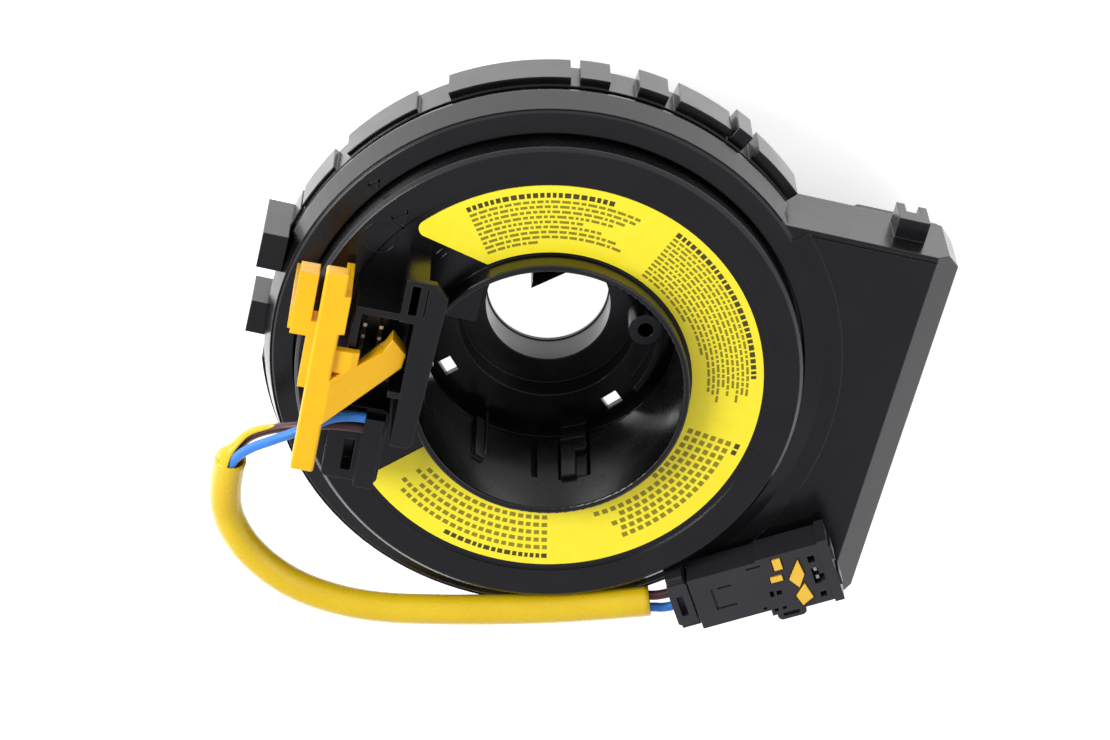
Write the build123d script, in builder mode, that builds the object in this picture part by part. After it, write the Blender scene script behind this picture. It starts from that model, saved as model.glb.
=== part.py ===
import os
from math import cos, pi, radians, sin, sqrt, tan

from build123d import *

os.makedirs("parts", exist_ok=True)

# A steering clock spring lying on its back, in millimetres.
# +Z runs along the rotor's axis towards the label, +X points along the harness wing,
# and the origin is on the rotor's axis at the level that the neck and the sockets stand on.

# ---------------------------------------------------------------- driving dimensions
running_gap = 0.3           # between the rotor's parts and the stator's
assembly_gap = 0.2          # between parts that are pushed together

# rotor disc
rotor_top_z = 40.2
rotor_r = 46.2
rotor_plate_t = 2.4
rotor_skirt_t = 1.8
rotor_skirt_depth = 8.4
rotor_edge_round = 0.7
bore_r = 24.2
bore_wall = 1.6
bore_tube_lift = 4.7        # from the hub's floor to the bore wall's lower edge
collar_height = 4.3
collar_wall = 1.25
collar_round = 0.4
bore_rib_angle = -110.0
bore_rib_t = 2.0
bore_rib_reach = 0.9
bore_slit_angle = -83.0
bore_slit_width = 1.0
bore_slit_top_z = 33.0

# label and its recess
label_in_r = 26.0
label_out_r = 39.0
label_t = 0.2
label_recess = 0.4
label_recess_r = 40.3
label_start = -136.0        # degrees, the end beside the cable cover
label_tip_angle = 142.3
label_cut_angle = 128.3
label_tip_round = 1.6

# lower hub
hub_tube_wall = 2.2
hub_floor_z = 14.0
hub_floor_t = 1.6
hub_flange_t = 1.6
hub_flange_reach = 4.4
cup_r = 17.0
cup_depth = 5.0
cup_wall = 1.6
neck_r = 11.9
neck_wall = 1.6
window_angles = (-137.5, -42.5, 42.5, 137.5)
window_r = 21.8
window_length = 3.3
window_width = 2.6
finger_count = 4
finger_angle = -65.0
finger_width = 4.8
finger_slot_play = 0.6
finger_t = 1.4
finger_top_z = 33.5
finger_toe_reach = 2.4
finger_toe_z = 20.0
finger_toe_t = 1.6
shelf_z = 24.0
shelf_left = -22.0
shelf_right = -14.0
shelf_low = 0.5
shelf_high = 9.0
boss_x = 17.5
boss_y = 5.0
boss_r = 3.2
boss_hole_r = 1.4
boss_hole_depth = 6.0
boss_z = 21.5
boss_rib_r = 20.6
boss_rib_t = 1.2
boss_rib_z = 19.0
boss_rib_half_angle = 26.0
index_y = 13.0
index_t = 1.4
index_left = -6.4
index_right = 0.6
index_tip_z = 30.5
index_low_z = 20.5
cam_tab_width = 7.0
cam_tab_length = 4.0
cam_tab_overlap = 0.4

# front cover ring
rim_drop = 5.1              # from the rotor's top to the rim's
rim_fall = 0.6              # the rim's face drops this much towards its outer edge
rim_out_r = 51.1
rim_t = 1.5
rim_edge = 0.7
rotor_side_gap = 0.6
cover_wall = 1.6
cover_skirt_z = 26.6
cover_flange_t = 1.4
stator_hole_r = 29.0

# harness wing
wing_reach = 68.2
wing_half_width = 37.5
wing_drop = 1.1             # from the rim's top to the wing's face
wing_wall = 1.6
wing_bevel_run = 5.0
wing_bevel_drop = 4.0
wing_ring_r = 53.8
wing_ring_half_angle = 43.5
wing_groove_inset = 1.0
wing_groove_width = 0.5
wing_groove_depth = 0.4
wing_corner = 2.6
latch_x = 58.3
latch_width = 5.7
latch_stand = 3.9
latch_front_z = 28.8
latch_length = 6.8
latch_notch_width = 2.6
latch_notch_length = 3.2

# rear housing
back_t = 1.6
back_z = 17.6
shell_r = 52.2
shell_wall = 1.2
shell_front_z = 26.2
shell_start = 47.5
shell_end = 312.5
chamber_wall = 1.4
chamber_gap = 0.2
tooth_inset = 0.3           # the teeth start this far behind the shell's front edge
tooth_r = 53.8
rib_count = 12
rib_height = 1.4
rib_t = 1.2
guard_height = 3.0
lug_reach = 56.0
lug_step = 0.6              # the lower lug stands out this much less
upper_lug_low = 6.5
upper_lug_high = 13.5
upper_lug_z = 32.0
lower_lug_low = -8.9
lower_lug_high = -2.5
lower_lug_z = 28.0
wall_overlap = 0.3          # how far teeth and lugs run into the shell's wall
chamber_opening = 12.0      # half of the opening towards the wing, in degrees
wing_plate_inset = 0.5

# ribbon cable and its slip sheets
sheet_t = 0.25
ribbon_t = 0.35
ribbon_side_gap = 0.2
ribbon_pitch = 2.6
ribbon_inner_r = 31.2
ribbon_play = 1.0           # from the outermost turn to the chamber wall
holder_width = 5.0
holder_reach = 2.3

# harness sockets
socket_x = 58.8
main_socket_y = 13.0
main_socket_x_size = 12.0
main_socket_y_size = 34.0
airbag_socket_y = -19.0
airbag_socket_x_size = 12.0
airbag_socket_y_size = 18.0
socket_wall = 1.5
socket_depth = 14.0
socket_foot = 1.5
socket_round = 1.2
socket_window_width = 5.0
socket_window_height = 4.0
pin_side = 0.64
pin_pitch = 3.6
pin_reach = 9.0

# tower on the rotor: p and q are its own axes, turned a little from X and Y
tower_turn = 2.0
tower_height = 12.3
tower_wall = 1.2
mouth_left = -36.1
mouth_right = -26.8
mouth_low = -1.0
mouth_high = 13.3
mouth_depth = 10.0
notch_right = -29.0
notch_depth = 5.5
strip_right = -21.8
strip_waist = -22.9
strip_left = -29.5
strip_low = -11.6
strip_high = 21.5
strip_t = 1.6
strip_rise = 0.5            # above the tower's top
slot_left = -28.3
slot_right = -25.4
slot_low = 14.9
slot_high = 20.6
terminal_p = -35.0
terminal_pitch_p = 2.9
terminal_q = 9.0
terminal_pitch_q = 2.3
terminal_rows = 5
terminal_height = 3.2
insert_t = 2.4

# cable cover beside the tower
box_left = -37.8
box_right = -27.6
box_low = -22.8
box_high = -7.4
box_height = 7.8
box_raised = 3.2
box_split = -31.8
box_round = 1.2
box_slot_p = -33.6
box_slot_width = 1.8
box_slot_low = -20.8
box_slot_high = -14.4
box_slot_depth = 4.5

# lock clip, in the tower's frame
clip_left = -43.6
clip_right = -39.4
clip_low = -18.3
clip_high = 21.5
clip_sink = 0.1             # the bar's underside lies this far under the tower's top
clip_t = 3.2
finger_block_left = -48.0
finger_block_width = 3.4
finger_bridge = 3.0
finger_block_low = 8.0
finger_block_high = 20.2
plate_t = 0.9
plate_low = 10.0
plate_high = 17.5
plate_clearance = 1.8
clip_overlap = 0.5          # joins the clip's limbs to its bar
leg_low = -2.2
leg_width = 1.4
leg_drop = 2.4
leg_t = 4.2
foot_t = 1.6
foot_width = 4.4
hook_low = 2.0
hook_high = 6.4
hook_reach = 0.9
hook_t = 1.8
clip_round = 0.5
branch_drop = 4.0           # the branch's tip lies this far under the bar's underside
branch_tip_t = 2.8
branch_bend_p = -31.5
branch_outline = ((-39.9, 0.5), (-39.9, -8.6), (-27.4, 3.6), (-27.1, 6.2), (-29.9, 9.3), (-31.2, 6.6))

# lead
wire_r = 0.9
wire_play = 0.25            # between a wire and the inside of the sleeve
sleeve_r = 2.9
sleeve_wall = 0.4
# the sleeve's middle line, from its upper end beside the tower to its end before the plug;
# the lead's heights are over the rotor's top
sleeve_route = (
    (-53.2, -28.0, 1.8),
    (-53.4, -36.0, 0.0),
    (-50.4, -44.2, -1.2),
    (-44.0, -50.8, -1.8),
    (-34.6, -55.2, -1.9),
    (-22.0, -56.2, -1.9),
    (-7.5, -53.4, -1.9),
    (8.0, -49.6, -1.9),
    (20.5, -45.8, -1.9),
    (29.8, -42.5, -1.9),
)
# each wire's way from the cable cover to the sleeve
blue_start = (
    (-31.48, -9.7, 9.7),
    (-35.98, -9.86, 9.7),
    (-41.2, -13.4, 10.7),
    (-46.4, -18.2, 8.9),
    (-50.8, -22.9, 6.0),
)
brown_start = (
    (-31.39, -12.3, 8.9),
    (-35.9, -12.46, 8.9),
    (-41.6, -14.4, 8.3),
    (-47.0, -17.6, 5.9),
    (-51.2, -22.2, 2.7),
)

# plug: x runs from the wires to the nose, y across
plug_turn = 31.4
plug_x = 34.0
plug_y = -41.0
plug_drop = 4.8             # from the rotor's top to the plug's underside
plug_t = 7.2
wire_pitch = 3.0
wire_stub = 2.2             # the straight run in front of the plug
cap_length = 3.8
cap_low = -3.6
cap_high = 5.2
cap_slot_depth = 2.0
body_start = 4.2
body_end = 17.5
body_low = -5.6
body_high = 5.4
head_end = 29.6
head_low = -6.9
head_high = 5.8
flange_t = 1.8
flange_rise = 0.4
lock_depth = 2.0            # the lock's pockets in the plug's top
lock_rise = 0.3
slit_depth = 0.5
hole_depth = 3.0

# ---------------------------------------------------------------- sizes that follow
rotor_under_z = rotor_top_z - rotor_plate_t
rim_top_z = rotor_top_z - rim_drop
wing_face_z = rim_top_z - wing_drop
recess_z = rotor_top_z - label_recess
collar_top_z = rotor_top_z + collar_height
skirt_z = rotor_top_z - rotor_skirt_depth
tube_low_z = hub_floor_z + bore_tube_lift
flange_top_z = skirt_z - running_gap
flange_z = flange_top_z - cover_flange_t
back_top_z = back_z + back_t
hub_r = stator_hole_r - 2 * running_gap
hub_tube_in_r = hub_r - hub_tube_wall
hub_under_z = hub_floor_z - hub_floor_t
hub_flange_r = stator_hole_r + hub_flange_reach
cup_floor_z = hub_floor_z - cup_depth
rim_in_r = rotor_r + rotor_side_gap
cover_in_r = rim_out_r - cover_wall
shell_in_r = shell_r - shell_wall
chamber_r = min(cover_in_r, shell_in_r) - chamber_gap - chamber_wall
holder_x = chamber_r + holder_reach
tower_top_z = rotor_top_z + tower_height
strip_top_z = tower_top_z + strip_rise
mouth_z = tower_top_z - mouth_depth
clip_z = tower_top_z - clip_sink
plate_low_z = rotor_top_z + plate_clearance
box_top_z = rotor_top_z + box_height
ribbon_z = back_top_z + sheet_t + ribbon_side_gap
ribbon_top_z = flange_z - sheet_t - ribbon_side_gap
ribbon_room = chamber_r - ribbon_play - ribbon_inner_r - ribbon_t
ribbon_half_turns = int(ribbon_room / (ribbon_pitch / 2)) + 1
wire_offset = sleeve_r - sleeve_wall - wire_r - wire_play
plug_z = rotor_top_z - plug_drop
plug_top_z = plug_z + plug_t


def tower_plane(z):
    turn = radians(tower_turn)
    return Plane(origin=(0, 0, z), x_dir=(cos(turn), sin(turn), 0), z_dir=(0, 0, 1))


def tower_side(q):
    """A plane across the tower at q, with its x axis along p and its y axis upwards."""
    turn = radians(tower_turn)
    origin = (-q * sin(turn), q * cos(turn), 0)
    return Plane(origin=origin, x_dir=(cos(turn), sin(turn), 0), z_dir=(sin(turn), -cos(turn), 0))


def plug_plane(z):
    turn = radians(plug_turn)
    return Plane(origin=(plug_x, plug_y, z), x_dir=(cos(turn), sin(turn), 0), z_dir=(0, 0, 1))


def polar(radius, angle):
    return (radius * cos(radians(angle)), radius * sin(radians(angle)))


def sector(inner_r, outer_r, start, end):
    """Adds a flat ring sector between two angles to the sketch that is open."""
    with BuildLine() as outline:
        CenterArc((0, 0), outer_r, start, end - start)
        CenterArc((0, 0), inner_r, start, end - start)
        for angle in (start, end):
            Line(polar(inner_r, angle), polar(outer_r, angle))
    make_face(outline.edges())


def span(low_x, high_x, low_y, high_y, mode=Mode.ADD):
    """Adds a rectangle between two corners to the sketch that is open."""
    with Locations(((low_x + high_x) / 2, (low_y + high_y) / 2)):
        Rectangle(high_x - low_x, high_y - low_y, mode=mode)


def save(piece, name):
    piece.part.label = name
    export_step(piece.part, f"parts/{name}.step")


# ---------------------------------------------------------------- front cover
wing_in_x = wing_reach - wing_wall
wing_in_y = wing_half_width - wing_wall
wing_in_z = wing_face_z - wing_wall
wing_in_corner = wing_corner - (2 - sqrt(2)) * wing_wall


def wing_box(reach, half_width, face_z, corner):
    """The wing's bevelled box, drawn once for its outside and once for its inside."""
    with BuildPart() as box:
        with BuildSketch(Plane.XZ.offset(-half_width)):
            with BuildLine():
                Polyline(
                    (0, back_top_z),
                    (reach, back_top_z),
                    (reach, face_z - wing_bevel_drop),
                    (reach - wing_bevel_run, face_z),
                    (0, face_z),
                    close=True,
                )
            make_face()
        extrude(amount=2 * half_width)
        chamfer(box.edges().filter_by(Axis.Z).group_by(Axis.X)[-1], corner)
    return box.part


with BuildPart() as front_cover:
    add(wing_box(wing_reach, wing_half_width, wing_face_z, wing_corner))
    add(wing_box(wing_in_x, wing_in_y, wing_in_z, wing_in_corner), mode=Mode.SUBTRACT)
    # everything inside the ring is cleared before the ring is turned
    with BuildSketch(Plane.XY.offset(back_top_z)):
        Circle(cover_in_r)
    extrude(amount=wing_face_z, mode=Mode.SUBTRACT)
    # the ring: inner flange, gutter wall, rim and outer skirt
    with BuildSketch(Plane.XZ):
        with BuildLine():
            Polyline(
                (stator_hole_r, flange_z),
                (stator_hole_r, flange_top_z),
                (rim_in_r, flange_top_z),
                (rim_in_r, rim_top_z),
                (rim_out_r - rim_edge, rim_top_z - rim_fall),
                (rim_out_r, rim_top_z - rim_fall - rim_edge),
                (rim_out_r, cover_skirt_z),
                (cover_in_r, cover_skirt_z),
                (cover_in_r, rim_top_z - rim_fall - rim_t),
                (rim_in_r + cover_wall, rim_top_z - rim_t),
                (rim_in_r + cover_wall, flange_z),
                close=True,
            )
        make_face()
    revolve(axis=Axis.Z)
    # the ring's step on the wing's face
    with BuildSketch(Plane.XY.offset(wing_in_z)):
        sector(cover_in_r, wing_ring_r, -wing_ring_half_angle, wing_ring_half_angle)
    extrude(amount=rim_top_z - rim_fall - wing_in_z)
    # fine groove along the two side edges of the wing's face
    groove_start = wing_ring_r - 14
    groove_end = wing_reach - wing_bevel_run
    with BuildSketch(Plane.XY.offset(wing_face_z)):
        for side in (-1, 1):
            groove_y = side * (wing_half_width - wing_groove_inset)
            with Locations(((groove_start + groove_end) / 2, groove_y)):
                Rectangle(groove_end - groove_start, wing_groove_width)
    extrude(amount=-wing_groove_depth, mode=Mode.SUBTRACT)
    # latch block with two prongs, on the wing's side
    with BuildSketch(Plane.XZ.offset(-wing_half_width - latch_stand)):
        latch_low_z = latch_front_z - latch_length
        half = latch_width / 2
        span(latch_x - half, latch_x + half, latch_low_z, latch_front_z)
        half = latch_notch_width / 2
        span(latch_x - half, latch_x + half, latch_low_z, latch_low_z + latch_notch_length, Mode.SUBTRACT)
    extrude(amount=latch_stand)
save(front_cover, "front_cover")

# ---------------------------------------------------------------- rear housing
teeth = (
    (47.8, 59.6, tooth_r + 0.8),
    (62.2, 65.6, tooth_r + 1.8),
    (66.4, 77.9, tooth_r + 0.6),
    (80.1, 86.0, tooth_r + 0.4),
    (91.6, 97.4, tooth_r),
    (99.2, 122.9, tooth_r - 0.1),
    (129.8, 146.4, tooth_r - 0.6),
    (150.4, 160.6, tooth_r - 0.7),
    (161.6, 166.4, tooth_r - 0.8),
    (196.0, 214.0, tooth_r - 0.4),
    (218.0, 240.0, tooth_r - 0.4),
    (244.0, 262.0, tooth_r - 0.4),
    (266.0, 290.0, tooth_r),
    (294.0, 308.0, tooth_r),
)
wing_plate_x = wing_reach - wing_plate_inset
wing_plate_y = wing_half_width - wing_plate_inset

with BuildPart() as rear_housing:
    with BuildSketch(Plane.XY.offset(back_z)):
        Circle(shell_r)
        span(0, wing_plate_x, -wing_plate_y, wing_plate_y)
        chamfer(vertices().group_by(Axis.X)[-1], wing_corner)
        Circle(stator_hole_r, mode=Mode.SUBTRACT)
        for y, x_size, y_size in (
            (main_socket_y, main_socket_x_size, main_socket_y_size),
            (airbag_socket_y, airbag_socket_x_size, airbag_socket_y_size),
        ):
            with Locations((socket_x, y)):
                Rectangle(x_size + 2 * assembly_gap, y_size + 2 * assembly_gap, mode=Mode.SUBTRACT)
    extrude(amount=back_t)
    # outer shell wall, open towards the wing, and the chamber wall inside the cover's skirt
    with BuildSketch(Plane.XY.offset(back_top_z)):
        sector(shell_in_r, shell_r, shell_start, shell_end)
    extrude(amount=shell_front_z - back_top_z)
    with BuildSketch(Plane.XY.offset(back_top_z)):
        sector(chamber_r, chamber_r + chamber_wall, chamber_opening, 360 - chamber_opening)
    extrude(amount=flange_z - running_gap - back_top_z)
    # teeth round the shell
    for start, end, outer_r in teeth:
        with BuildSketch(Plane.XY.offset(back_z)):
            sector(shell_in_r + wall_overlap, outer_r, start, end)
        extrude(amount=shell_front_z - tooth_inset - back_z)
    # two hook lugs at the left
    with BuildSketch(Plane.XY.offset(back_z)):
        span(-lug_reach, -shell_in_r - wall_overlap, upper_lug_low, upper_lug_high)
    extrude(amount=upper_lug_z - back_z)
    with BuildSketch(Plane.XY.offset(back_z)):
        span(-lug_reach + lug_step, -shell_in_r - wall_overlap, lower_lug_low, lower_lug_high)
    extrude(amount=lower_lug_z - back_z)
    # ribs and guard ring on the back
    with BuildSketch(Plane.XY.offset(back_z)):
        guard_r = hub_flange_r + 1.0
        Circle(guard_r + rib_t)
        Circle(guard_r, mode=Mode.SUBTRACT)
    extrude(amount=-guard_height)
    with BuildSketch(Plane.XY.offset(back_z)):
        with PolarLocations((guard_r + shell_in_r) / 2, rib_count, start_angle=75, angular_range=240):
            Rectangle(shell_in_r - guard_r - rib_t, rib_t)
    extrude(amount=-rib_height)
save(rear_housing, "rear_housing")

# ---------------------------------------------------------------- slip sheets and ribbon
for name, sheet_z in (("upper_slip_sheet", flange_z - sheet_t), ("lower_slip_sheet", back_top_z)):
    with BuildPart() as sheet:
        with BuildSketch(Plane.XY.offset(sheet_z)):
            Circle(chamber_r - assembly_gap)
            Circle(stator_hole_r + assembly_gap, mode=Mode.SUBTRACT)
        extrude(amount=sheet_t)
    save(sheet, name)

with BuildPart() as ribbon_cable:
    # half turns about two centres, each half a pitch larger than the one before
    with BuildSketch(Plane.XY.offset(ribbon_z)):
        for turn in range(ribbon_half_turns):
            inner = ribbon_inner_r + turn * ribbon_pitch / 2
            centre = (0, 0) if turn % 2 == 0 else (-ribbon_pitch / 2, 0)
            start = 0 if turn % 2 == 0 else 180
            with BuildLine() as outline:
                CenterArc(centre, inner + ribbon_t, start, 180)
                CenterArc(centre, inner, start, 180)
                for side in (-1, 1):
                    Line((centre[0] + side * inner, 0), (centre[0] + side * (inner + ribbon_t), 0))
            make_face(outline.edges())
    extrude(amount=ribbon_top_z - ribbon_z)
save(ribbon_cable, "ribbon_cable")

ribbon_end_r = ribbon_inner_r + (ribbon_half_turns - 1) * ribbon_pitch / 2 + ribbon_t

with BuildPart() as outer_cable_holder:
    with BuildSketch(Plane.XY.offset(back_top_z + sheet_t)):
        span(ribbon_end_r + assembly_gap, holder_x, 0, holder_width)
    extrude(amount=cover_skirt_z - running_gap - back_top_z - sheet_t)
save(outer_cable_holder, "outer_cable_holder")

with BuildPart() as inner_cable_holder:
    with BuildSketch(Plane.XY.offset(ribbon_z)):
        sector(hub_r + 0.05, ribbon_inner_r - assembly_gap, -8, 8)
    extrude(amount=ribbon_top_z - ribbon_z)
save(inner_cable_holder, "inner_cable_holder")

# ---------------------------------------------------------------- harness sockets
def socket(y, x_size, y_size, columns):
    """A rectangular connector shroud under the wing, with its foot inside the wing."""
    with BuildPart() as shroud:
        with BuildSketch(Plane.XY):
            with Locations((socket_x, y)):
                RectangleRounded(x_size, y_size, socket_round)
        extrude(amount=back_top_z)
        with BuildSketch(Plane.XY.offset(back_top_z)):
            with Locations((socket_x, y)):
                Rectangle(x_size + 2 * socket_foot, y_size + socket_foot)
        extrude(amount=socket_foot)
        with BuildSketch(Plane.XY):
            with Locations((socket_x, y)):
                Rectangle(x_size - 2 * socket_wall, y_size - 2 * socket_wall)
        extrude(amount=socket_depth, mode=Mode.SUBTRACT)
        # latch window in the outer wall
        with BuildSketch(Plane.YZ.offset(socket_x + x_size / 2)):
            with Locations((y, socket_depth / 2)):
                Rectangle(socket_window_width, socket_window_height)
        extrude(amount=-socket_wall, mode=Mode.SUBTRACT)
    with BuildPart() as pins:
        with BuildSketch(Plane.XY.offset(socket_depth)):
            with Locations((socket_x, y)):
                with GridLocations(pin_pitch, pin_pitch, 2, columns):
                    Rectangle(pin_side, pin_side)
        extrude(amount=-pin_reach)
    return shroud, pins


main_socket, main_pins = socket(main_socket_y, main_socket_x_size, main_socket_y_size, 7)
save(main_socket, "main_socket")
save(main_pins, "main_pins")
airbag_socket, airbag_pins = socket(airbag_socket_y, airbag_socket_x_size, airbag_socket_y_size, 3)
save(airbag_socket, "airbag_socket")
save(airbag_pins, "airbag_pins")

# ---------------------------------------------------------------- rotor disc and its tower
finger_slot_width = finger_width + 2 * finger_slot_play
finger_slot_top_z = finger_top_z + finger_slot_play

with BuildPart() as rotor_disc:
    with BuildSketch(Plane.XZ):
        with BuildLine():
            Polyline(
                (bore_r, tube_low_z),
                (bore_r, collar_top_z),
                (bore_r + collar_wall, collar_top_z),
                (bore_r + collar_wall, recess_z),
                (label_recess_r, recess_z),
                (label_recess_r, rotor_top_z),
                (rotor_r - rotor_edge_round, rotor_top_z),
                (rotor_r, rotor_top_z - rotor_edge_round),
                (rotor_r, skirt_z),
                (rotor_r - rotor_skirt_t, skirt_z),
                (rotor_r - rotor_skirt_t, rotor_under_z),
                (bore_r + bore_wall, rotor_under_z),
                (bore_r + bore_wall, tube_low_z),
                close=True,
            )
        make_face()
    revolve(axis=Axis.Z)
    fillet(rotor_disc.edges().group_by(Axis.Z)[-1], collar_round)
    # slots that the hub's snap fingers stand in
    with BuildSketch(Plane.XY.offset(tube_low_z)):
        with PolarLocations(bore_r + bore_wall / 2, finger_count, start_angle=finger_angle):
            Rectangle(4 * bore_wall, finger_slot_width)
    extrude(amount=finger_slot_top_z - tube_low_z, mode=Mode.SUBTRACT)
    # slit and rib in the bore's wall
    with BuildSketch(Plane.XY.offset(tube_low_z)):
        with PolarLocations(bore_r + bore_wall / 2, 1, start_angle=bore_slit_angle):
            Rectangle(4 * bore_wall, bore_slit_width)
    extrude(amount=bore_slit_top_z - tube_low_z, mode=Mode.SUBTRACT)
    with BuildSketch(Plane.XY.offset(tube_low_z)):
        with PolarLocations(bore_r, 1, start_angle=bore_rib_angle):
            Rectangle(2 * bore_rib_reach, bore_rib_t)
    extrude(amount=bore_slit_top_z - tube_low_z)
save(rotor_disc, "rotor_disc")

with BuildPart() as rotor_tower:
    # walls round the mouth, standing in the recess against the collar
    with BuildSketch(tower_plane(recess_z)):
        span(
            mouth_left - tower_wall,
            mouth_right + tower_wall,
            mouth_low - tower_wall,
            mouth_high + tower_wall,
        )
    extrude(amount=tower_top_z - recess_z)
    with BuildSketch(tower_plane(mouth_z)):
        span(mouth_left, mouth_right, mouth_low, mouth_high)
    extrude(amount=mouth_depth, mode=Mode.SUBTRACT)
    # notch in the mouth's low wall, where the clip's branch dips in
    with BuildSketch(tower_plane(tower_top_z - notch_depth)):
        span(mouth_left, notch_right, mouth_low - tower_wall, mouth_low)
    extrude(amount=notch_depth, mode=Mode.SUBTRACT)
    # the strip along the bore's side: a wall under it and a slotted head
    with BuildSketch(tower_plane(recess_z)):
        span(mouth_right, mouth_right + tower_wall, strip_low, strip_high)
        span(strip_left, slot_left, mouth_high, strip_high)
        span(strip_left, mouth_right + tower_wall, slot_high, strip_high)
    extrude(amount=strip_top_z - recess_z)
    with BuildSketch(tower_plane(strip_top_z - strip_t)):
        with BuildLine():
            Polyline(
                (mouth_right, strip_low),
                (strip_waist - 0.8, strip_low),
                (strip_waist, strip_low + 0.8),
                (strip_right, strip_high - 2.5),
                (strip_right - 2.5, strip_high),
                (strip_left, strip_high),
                (strip_left, mouth_high),
                (mouth_right, mouth_high),
                close=True,
            )
        make_face()
        span(slot_left, slot_right, slot_low, slot_high, Mode.SUBTRACT)
    extrude(amount=strip_t)
    # the collar's room
    with BuildSketch(Plane.XY.offset(recess_z)):
        Circle(bore_r + collar_wall)
    extrude(amount=collar_height + label_recess, mode=Mode.SUBTRACT)
save(rotor_tower, "rotor_tower")

# ---------------------------------------------------------------- label
with BuildPart() as label:
    with BuildSketch(Plane.XY.offset(recess_z)):
        with BuildLine():
            CenterArc((0, 0), label_out_r, label_start, label_tip_angle - label_start)
            CenterArc((0, 0), label_in_r, label_start, label_cut_angle - label_start)
            Line(polar(label_out_r, label_tip_angle), polar(label_in_r, label_cut_angle))
            Line(polar(label_out_r, label_start), polar(label_in_r, label_start))
        make_face()
        fillet(vertices().sort_by_distance(polar(label_out_r, label_tip_angle))[0], label_tip_round)
    extrude(amount=label_t)
save(label, "label")

# ---------------------------------------------------------------- lower hub
with BuildPart() as lower_hub:
    with BuildSketch(Plane.XZ):
        with BuildLine():
            Polyline(
                (neck_r, 0),
                (neck_r, cup_floor_z),
                (cup_r, cup_floor_z),
                (cup_r, hub_floor_z),
                (hub_tube_in_r, hub_floor_z),
                (hub_tube_in_r, rotor_under_z),
                (hub_r, rotor_under_z),
                (hub_r, back_z - running_gap),
                (hub_flange_r, back_z - running_gap),
                (hub_flange_r, back_z - running_gap - hub_flange_t),
                (hub_r, back_z - running_gap - hub_flange_t),
                (hub_r, hub_under_z),
                (cup_r + cup_wall, hub_under_z),
                (cup_r + cup_wall, cup_floor_z - cup_wall),
                (neck_r + neck_wall, cup_floor_z - cup_wall),
                (neck_r + neck_wall, 0),
                close=True,
            )
        make_face()
    revolve(axis=Axis.Z)
    # windows through the floor
    with BuildSketch(Plane.XY.offset(hub_under_z)):
        for angle in window_angles:
            with PolarLocations(window_r, 1, start_angle=angle):
                Rectangle(window_width, window_length)
    extrude(amount=hub_floor_t, mode=Mode.SUBTRACT)
    # snap fingers that stand up in the bore wall's slots
    with BuildSketch(Plane.XY.offset(hub_floor_z)):
        with PolarLocations(bore_r + bore_wall / 2, finger_count, start_angle=finger_angle):
            Rectangle(finger_t, finger_width)
    extrude(amount=finger_top_z - hub_floor_z)
    toe_r = bore_r + bore_wall / 2 - finger_toe_reach / 2
    with BuildSketch(Plane.XY.offset(finger_toe_z)):
        with PolarLocations(toe_r, finger_count, start_angle=finger_angle):
            Rectangle(finger_toe_reach, finger_width)
    extrude(amount=finger_toe_t)
    # shelf and hollow boss inside the bore, either side of the cup
    with BuildSketch(Plane.XY.offset(hub_floor_z)):
        span(shelf_left, shelf_right, shelf_low, shelf_high)
    extrude(amount=shelf_z - hub_floor_z)
    with BuildSketch(Plane.XY.offset(hub_floor_z)):
        with Locations((boss_x, boss_y)):
            Circle(boss_r)
    extrude(amount=boss_z - hub_floor_z)
    with BuildSketch(Plane.XY.offset(hub_floor_z)):
        sector(boss_rib_r, boss_rib_r + boss_rib_t, -boss_rib_half_angle, boss_rib_half_angle)
    extrude(amount=boss_rib_z - hub_floor_z)
    with BuildSketch(Plane.XY.offset(boss_z)):
        with Locations((boss_x, boss_y)):
            Circle(boss_hole_r)
    extrude(amount=-boss_hole_depth, mode=Mode.SUBTRACT)
    # pointed index rib on the cup's rim
    with BuildSketch(Plane.XZ.offset(-index_y)):
        with BuildLine():
            Polyline(
                (index_left, cup_floor_z),
                (index_left, index_tip_z),
                (index_right, index_low_z),
                (index_right, cup_floor_z),
                close=True,
            )
        make_face()
    extrude(amount=-index_t)
    # cam tab beside the neck
    with BuildSketch(Plane.XY):
        with Locations((0, cam_tab_overlap - neck_r - neck_wall - cam_tab_length / 2)):
            Rectangle(cam_tab_width, cam_tab_length)
    extrude(amount=cup_floor_z - cup_wall)
save(lower_hub, "lower_hub")

# ---------------------------------------------------------------- connector in the tower's mouth
with BuildPart() as connector_insert:
    with BuildSketch(tower_plane(mouth_z)):
        span(
            mouth_left + assembly_gap,
            mouth_right - assembly_gap,
            mouth_low + assembly_gap,
            mouth_high - assembly_gap,
        )
    extrude(amount=insert_t)
save(connector_insert, "connector_insert")

with BuildPart() as rotor_pins:
    with BuildSketch(tower_plane(mouth_z + insert_t)):
        middle_p = terminal_p + terminal_pitch_p / 2
        middle_q = terminal_q - terminal_pitch_q * (terminal_rows - 1) / 2
        with Locations((middle_p, middle_q)):
            with GridLocations(terminal_pitch_p, terminal_pitch_q, 2, terminal_rows):
                Rectangle(pin_side, pin_side)
    extrude(amount=terminal_height)
save(rotor_pins, "rotor_pins")

# ---------------------------------------------------------------- cable cover
with BuildPart() as cable_cover:
    with BuildSketch(tower_plane(rotor_top_z)):
        span(box_left, box_right, box_low, box_high)
    extrude(amount=box_height)
    fillet(cable_cover.edges().filter_by(Axis.Z), box_round)
    with BuildSketch(tower_plane(box_top_z)):
        span(box_split, box_right - 0.6, box_low + 0.6, box_high - 0.6)
    extrude(amount=box_raised)
    with BuildSketch(tower_plane(box_top_z)):
        half = box_slot_width / 2
        span(box_slot_p - half, box_slot_p + half, box_slot_low, box_slot_high)
    extrude(amount=-box_slot_depth, mode=Mode.SUBTRACT)
save(cable_cover, "cable_cover")

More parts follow.
